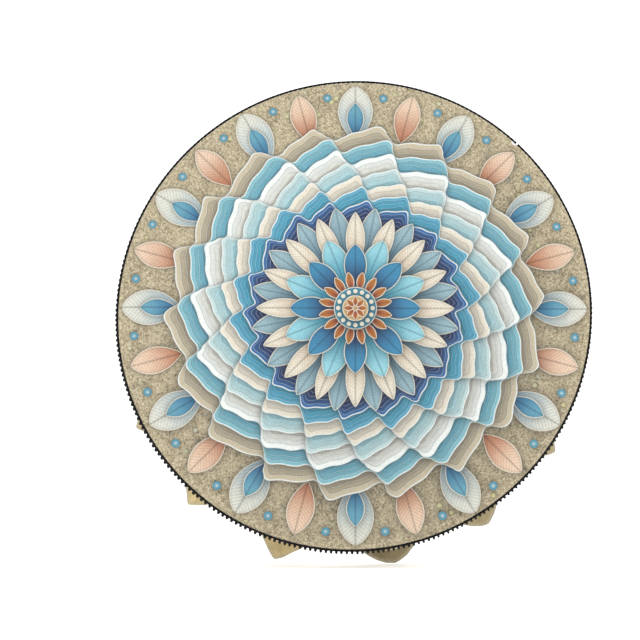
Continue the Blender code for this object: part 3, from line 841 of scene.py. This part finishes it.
def hoop_section(degrees, inner, outer):
    """The strip's cross-section between two radii, with eased corners."""
    ease = min(HOOP_EASE, (outer - inner) / 3)
    ring = []
    for radius, y, start in ((inner + ease, FRONT_EDGE_Y + ease, 180.0),
                             (outer - ease, FRONT_EDGE_Y + ease, 270.0),
                             (outer - ease, BACK_EDGE_Y - ease, 0.0),
                             (inner + ease, BACK_EDGE_Y - ease, 90.0)):
        for share in shares(EASE_STEPS):
            turn = math.radians(start + 90.0 * share)
            ring.append(on_drum(radius + ease * math.cos(turn), y + ease * math.sin(turn),
                                degrees))
    return ring


def build_hoop():
    """The bent strip, its thinned ends lapped in a nibbed scarf."""
    lap = math.degrees(SCARF_LENGTH / HOOP_OUTER)
    butt = math.degrees(FIT_GAP / HOOP_INNER)
    start = SCARF_ANGLE - lap / 2
    low = HOOP_INNER + SCARF_NIB
    high = HOOP_OUTER - SCARF_NIB - FIT_GAP
    rings = []
    for share in shares(SCARF_STEPS):
        top = low + (high - low) * share
        rings.append(hoop_section(start + butt + (lap - butt) * share, HOOP_INNER, top))
    for share in shares(HOOP_STEPS):
        turn = start + lap + (360.0 - lap) * share
        rings.append(hoop_section(turn, HOOP_INNER, HOOP_OUTER))
    for share in shares(SCARF_STEPS):
        base = low + FIT_GAP + (high - low) * share
        rings.append(hoop_section(start + 360.0 + (lap - butt) * share, base, HOOP_OUTER))
    hoop = piece("bent_hoop", *skin(rings), wood_paint(), ("hoop",))
    return hoop


TACK_COUNT = 4
TACK_SIDES = 24
TACK_HEAD_RADIUS = 0.0023
TACK_DOME = 0.0011  # height of the head
TACK_CLEARANCE = 0.0001  # between the head and the wood
TACK_SHANK_RADIUS = 0.00075
TACK_POINT_LENGTH = 0.0012
TACK_POINT_RADIUS = 0.0001


def build_tacks():
    """Domed heads and shanks in place of the plain tacks."""
    paint = brass_paint()
    for number in range(1, TACK_COUNT + 1):
        low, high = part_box(f"lap_tack_{number}")
        middle = (low + high) / 2
        degrees = math.degrees(math.atan2(middle.z, middle.x))
        side = round_axis(1.0, 0.0, degrees + 90.0)
        seat = HOOP_INNER - TACK_CLEARANCE
        profile = [(seat - TACK_DOME * math.cos(math.radians(a)),
                    TACK_HEAD_RADIUS * math.sin(math.radians(a))) for a in range(6, 91, 12)]
        profile += [(seat, TACK_HEAD_RADIUS), (seat, TACK_SHANK_RADIUS),
                    (HOOP_OUTER - TACK_POINT_LENGTH, TACK_SHANK_RADIUS),
                    (HOOP_OUTER - FIT_GAP, TACK_POINT_RADIUS)]
        turns = [2 * math.pi * j / TACK_SIDES for j in range(TACK_SIDES)]
        rings = []
        for radius, reach in profile:
            centre = on_drum(radius, middle.y, degrees)
            rings.append([centre + (side * math.cos(t) - Vector((0, math.sin(t), 0))) * reach
                          for t in turns])
        tack = piece(f"brass_tack_{number}", *skin(rings), paint, (f"lap_tack_{number}",))


# ---- trim

TRIM_CREASE = 80.0
TRIM_CORD_RADIUS = 0.1270977  # from the drum's axis to the cord's middle
TRIM_CORD_Y = (cord_low.y + cord_high.y) / 2
TRIM_CORD_STEPS = 3200
TRIM_CORD_TURNS = 420  # of the twist, all round
PLY_RADIUS = 0.00041
PLY_OFFSET = 0.0002  # from the cord's middle to a ply's middle
TRIM_SEAM_ANGLE = 46.0  # degrees round the drum, where the cord's ends meet
TRIM_SEAM_GAP = 0.0013
TRIM_RISE = 0.0020  # of a stitch's top over the wall
STITCH = 0.0013  # thickness of the stitches
STITCH_PITCH = 0.0027
STITCH_COUNT = round(2 * math.pi * WALL_RADIUS / STITCH_PITCH)
STITCH_STEPS = 10
STITCH_START = 0.0007  # behind the cord's middle
STITCH_FOOT = 0.00035  # of a stitch's middle over the wall, where it starts
STITCH_TOP_SHARE = 0.72  # of its length, from its front to its top
LOOSEST_ANGLE = 255.0  # degrees round the drum, where the stitches stand out the most


def build_trim_cord(paint):
    """Two fine threads twisted round each other along the edge of the face, butted at a seam."""
    gap = math.degrees(TRIM_SEAM_GAP / WALL_RADIUS)
    parts = []
    for ply in range(2):
        points = []
        for share in shares(TRIM_CORD_STEPS):
            degrees = TRIM_SEAM_ANGLE + gap / 2 + (360.0 - gap) * share
            lay = 2 * math.pi * (TRIM_CORD_TURNS * share + ply / 2)
            points.append(on_drum(TRIM_CORD_RADIUS + PLY_OFFSET * math.cos(lay),
                                  TRIM_CORD_Y + PLY_OFFSET * math.sin(lay), degrees))
        parts.append(tube(points, PLY_RADIUS, 6))
    vertices, faces, strand = gather(parts)
    cord = piece("edge_cord", vertices, faces, paint, ("trim_cord",), TRIM_CREASE, strand)
    return cord


def build_stitches(paint):
    """Close overcast stitches that come from under the edge cord, swell as they go back over
    the wall, and turn down into it."""
    front = TRIM_CORD_Y + STITCH_START
    back = loops_high.y
    parts = []
    for i in range(STITCH_COUNT):
        degrees = 360.0 * (i + 0.33) / STITCH_COUNT
        uneven = noise.noise(Vector((i * 0.61, 1.7, 0.0)))
        pulled = math.cos(math.radians(degrees - LOOSEST_ANGLE))
        top = TRIM_RISE * (0.86 + 0.22 * pulled) - STITCH / 2
        points = []
        for share in shares(STITCH_STEPS):
            climb = math.sin(math.pi / 2 * min(share / STITCH_TOP_SHARE, 1.0)) ** 0.8
            dive = max(share - STITCH_TOP_SHARE, 0.0) / (1 - STITCH_TOP_SHARE)
            rise = (STITCH_FOOT + (top - STITCH_FOOT) * climb) * (1 - dive * dive * 0.95)
            rise += 0.0001 * uneven
            sway = 0.16 * share + 0.10 * uneven
            points.append(on_drum(WALL_RADIUS + rise, front + (back - front) * share,
                                  degrees + sway))
        parts.append(tube(points, STITCH / 2, 8, rough=0.10, seed=i * 0.37))
    vertices, faces, strand = gather(parts)
    stitches = piece("edge_stitches", vertices, faces, paint, ("trim_loops",), TRIM_CREASE, strand)
    return stitches


# ---- lacing, knot and ring

LACE_CREASE = 60.0
LACE_SIDES = 12
LACE_CLEARANCE = 0.00045  # from the lace to the hide that it lies on
RING_CLEARANCE = 0.0002
LACE_BEND = 0.002  # radius of the lace's middle where it turns at a hole
BEND_STEPS = 7
LACE_FLATNESS = 0.14  # share by which the lace is wider, and thinner, than a round one
LACE_TWIST = 0.034  # length of one turn of its twist
LACE_ROUGHNESS = 0.12
LACE_SPACING = 0.0022  # most, between two of its sections
LACE_END_RISE = 0.0004  # of its ends over the wall, under the knot
TURN_STEPS = 12
TURN_WIDTH = 0.0032  # by which the lace moves along the ring as it turns round it


def bridge_radius():
    """How far from the axis the lace runs over the hide, between the two holes of a point."""
    sag = 1.0 - math.cos(HALF_HOLE_SPACING / WALL_RADIUS)
    return WALL_RADIUS * (1.0 + sag) + LACE_CLEARANCE + LACE / 2


def turn_outside(index, side, inward):
    """The lace's quarter turn where it comes out of a hole."""
    degrees = hole_angle(index, side)
    outward = round_axis(1.0, 0.0, degrees)
    corner = on_drum(bridge_radius(), HOLE_Y, degrees)
    partner = on_drum(bridge_radius(), HOLE_Y, hole_angle(index, -side))
    along = (partner - corner).normalized()
    centre = corner - outward * LACE_BEND + along * LACE_BEND
    points = []
    for share in shares(BEND_STEPS):
        turn = math.pi / 2 * share
        points.append(centre + (outward * math.sin(turn) - along * math.cos(turn)) * LACE_BEND)
    return list(reversed(points)) if inward else points


def turn_round_ring(index):
    """The lace's turn round the ring between two points: behind, through, in front."""
    reach = RING_WIRE / 2 + LACE / 2 + RING_CLEARANCE
    degrees = (hole_angle(index, 1) + hole_angle(index + 1, -1)) / 2
    sideways = round_axis(1.0, 0.0, degrees + 90.0)
    points = []
    for share in shares(TURN_STEPS):
        turn = math.pi * (0.5 + share)
        place = round_axis(RING_RADIUS + reach * math.cos(turn), reach * math.sin(turn), degrees)
        points.append(place + sideways * TURN_WIDTH * (share - 0.5))
    return points


def filled_out(points, spacing):
    """The same route with points no further apart than this."""
    route = [points[0]]
    for a, b in zip(points, points[1:]):
        steps = max(1, math.ceil((b - a).length / spacing))
        route.extend(a.lerp(b, i / steps) for i in range(1, steps + 1))
    return route


def build_lacing(paint):
    """One lace: from the ring out to each point and back, right round the drum."""
    end_radius = WALL_RADIUS + LACE_END_RISE
    points = [on_drum(end_radius, HOLE_Y, hole_angle(0, 1))]
    for index in range(POINT_COUNT):
        points.extend(turn_round_ring(index))
        following = (index + 1) % POINT_COUNT
        if following:
            points.extend(turn_outside(following, -1, inward=False))
            points.extend(turn_outside(following, 1, inward=True))
    points.append(on_drum(end_radius, HOLE_Y, hole_angle(0, -1)))
    route = filled_out(points, LACE_SPACING)
    vertices, faces, strand = tube(route, LACE / 2, LACE_SIDES, flat=LACE_FLATNESS,
                                   twist=LACE_TWIST, rough=LACE_ROUGHNESS)
    lace = piece("rawhide_lacing", vertices, faces, paint, ("lacing",), LACE_CREASE, strand)
    return lace


KNOT_LOOP = 0.0019  # a third of the knot's radius
KNOT_RISE = 0.00245  # of the lace's middle over the knot's middle plane
KNOT_SHIFT = 0.0016  # of the knot's middle in front of the holes
KNOT_STEPS = 150
TAIL_STEPS = 12
TAIL_START = 0.002  # along the wall from the knot's middle
TAIL_LENGTH = 0.0085  # along the wall
TAIL_ARCH = 0.0016  # height of a tail's arch over the hide
TAIL_SETBACK = 0.0045  # of its start, in front of the holes
TAIL_SWEEP = 0.0065  # of its end, in front of its start
TAIL_SPREAD = 0.0012  # by which one end lies further forward than that, and the other less


def knot_tail(side):
    """One end of the lace: out of the knot, over the hide and forward."""
    tail = []
    for share in shares(TAIL_STEPS):
        along = side * math.degrees((TAIL_START + TAIL_LENGTH * share) / WALL_RADIUS)
        arch = TAIL_ARCH * math.sin(math.pi * (0.25 + 0.75 * share))
        y = HOLE_Y - TAIL_SETBACK - TAIL_SWEEP * share ** 1.6 - TAIL_SPREAD * side * share
        tail.append(on_drum(WALL_RADIUS + LACE_CLEARANCE + LACE / 2 + arch, y,
                            hole_angle(0, 0) + along))
    return tube(tail, LACE / 2 - 0.0001, LACE_SIDES, flat=LACE_FLATNESS, twist=0.03, rough=0.15,
                seed=9.0 + side)


def build_knot(paint):
    """The knot that ties the lace's ends over the first point's holes, and the ends past it."""
    degrees = point_angle(0)
    outward = round_axis(1.0, 0.0, degrees)
    sideways = round_axis(1.0, 0.0, degrees + 90.0)
    centre = on_drum(WALL_RADIUS + LACE_CLEARANCE + LACE / 2 + KNOT_RISE, HOLE_Y - KNOT_SHIFT,
                     degrees)
    points = []
    for i in range(KNOT_STEPS):
        t = 2 * math.pi * i / KNOT_STEPS
        across = KNOT_LOOP * (math.sin(t) + 2 * math.sin(2 * t))
        along = KNOT_LOOP * (math.cos(t) - 2 * math.cos(2 * t))
        points.append(centre + sideways * across + Vector((0.0, along, 0.0))
                      - outward * KNOT_RISE * math.sin(3 * t))
    parts = [tube(points, LACE / 2 + 0.0002, 14, closed=True, rough=LACE_ROUGHNESS, seed=5.0)]
    parts += [knot_tail(side) for side in (-1, 1)]
    vertices, faces, strand = gather(parts)
    knot = piece("lace_knot", vertices, faces, paint, ("lacing_knot",), LACE_CREASE, strand)
    return knot


RING_STEPS = 160
RING_SIDES = 24


def build_ring():
    """The grip ring. Its wire is 2% thicker than in the CAD, which makes up for its facets."""
    points = [round_axis(RING_RADIUS, 0.0, 360.0 * i / RING_STEPS) for i in range(RING_STEPS)]
    vertices, faces, strand = tube(points, RING_WIRE / 2 * 1.02, RING_SIDES, closed=True)
    ring = piece("steel_ring", vertices, faces, steel_paint(), ("grip_ring",), LACE_CREASE, strand)
    return ring


# ---- setting

CAMERA_DISTANCE = 0.635
CAMERA_DROP = 10.0  # degrees under the drum's axis
CAMERA_SIDE = 262.0  # degrees, the way the camera is off the axis, seen from the front
FOCAL_PIXELS = 1186.6
FACE_PIXEL = (355.4, 308.1)  # where the face's middle lies in the 640 pixel square
IMAGE = 640.0
SENSOR = 36.0
FLOOR_GAP = 0.0004  # between the floor and the drum's lowest point
FLOOR_FRONT = -4.0
FLOOR_BACK = 1.6
SWEEP = 0.8  # radius of the curve from the floor to the backdrop
STAGE_TOP = 5.0
STAGE_SIDE = 5.0


def build_stage():
    """A pale floor that curves up into a backdrop."""
    floor = cad_low.z - FLOOR_GAP
    profile = [(FLOOR_FRONT, floor), (FLOOR_BACK, floor)]
    profile += [(FLOOR_BACK + SWEEP * math.sin(math.radians(a)),
                 floor + SWEEP * (1 - math.cos(math.radians(a)))) for a in range(9, 91, 9)]
    profile.append((FLOOR_BACK + SWEEP, STAGE_TOP))
    vertices = [Vector((x, y, z)) for y, z in profile for x in (-STAGE_SIDE, STAGE_SIDE)]
    faces = [(2 * i, 2 * i + 1, 2 * i + 3, 2 * i + 2) for i in range(len(profile) - 1)]
    backdrop = add_mesh("backdrop", vertices, faces)
    backdrop.data.shade_smooth()
    paint = Paint("backdrop", 0.9)
    paint.colour((0.86, 0.86, 0.86))
    paint.shader.inputs["Specular IOR Level"].default_value = 0.0
    paint.shader.inputs["Emission Color"].default_value = (1.0, 1.0, 1.0, 1.0)
    paint.shader.inputs["Emission Strength"].default_value = 0.4
    backdrop.data.materials.append(paint.material)


def aim(thing, target):
    """Turns a camera or lamp to look at the target."""
    thing.rotation_mode = "QUATERNION"
    thing.rotation_quaternion = (target - thing.location).to_track_quat("-Z", "Y")


def area_light(name, place, size, power):
    """A square soft lamp aimed at the drum."""
    data = bpy.data.lights.new(name, "AREA")
    data.shape = "SQUARE"
    data.size = size
    data.energy = power
    light = add(name, data)
    light.location = place
    aim(light, Vector((0.0, 0.0, 0.0)))


def build_lights():
    """White light from all sides, and three soft lamps that model the forms."""
    world = bpy.data.worlds.new("studio")
    world.use_nodes = True
    background = world.node_tree.nodes["Background"]
    background.inputs["Color"].default_value = (1.0, 1.0, 1.0, 1.0)
    background.inputs["Strength"].default_value = 1.0
    bpy.context.scene.world = world
    area_light("key", Vector((-0.9, -1.5, 1.5)), 1.2, 5.5)
    area_light("fill", Vector((1.5, -1.3, 0.5)), 1.4, 0.8)
    area_light("back", Vector((0.5, 1.3, 1.2)), 1.2, 5.0)
    bpy.context.scene.view_settings.view_transform = "Standard"


def build_camera():
    """A near camera under the drum's axis, shifted so that the face lies as in the photograph."""
    data = bpy.data.cameras.new("camera")
    camera = add("camera", data)
    face = Vector((0.0, SHEET_FRONT_Y, 0.0))
    drop = math.radians(CAMERA_DROP)
    side = math.radians(CAMERA_SIDE)
    camera.location = face + CAMERA_DISTANCE * Vector(
        (math.sin(drop) * math.cos(side), -math.cos(drop), math.sin(drop) * math.sin(side)))
    aim(camera, face)
    data.sensor_width = SENSOR
    data.lens = FOCAL_PIXELS / IMAGE * data.sensor_width
    data.shift_x = (IMAGE / 2 - FACE_PIXEL[0]) / IMAGE
    data.shift_y = (FACE_PIXEL[1] - IMAGE / 2) / IMAGE
    data.clip_start = 0.01
    data.clip_end = 50.0
    bpy.context.scene.camera = camera


def main():
    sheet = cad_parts["face_sheet"]
    sheet.data.materials.clear()
    sheet.data.materials.append(face_paint())
    build_hide()
    build_hoop()
    build_tacks()
    thread = black_thread_paint()
    build_trim_cord(thread)
    build_stitches(thread)
    lace = lace_paint()
    build_lacing(lace)
    build_knot(lace)
    build_ring()
    build_stage()
    build_lights()
    build_camera()


main()
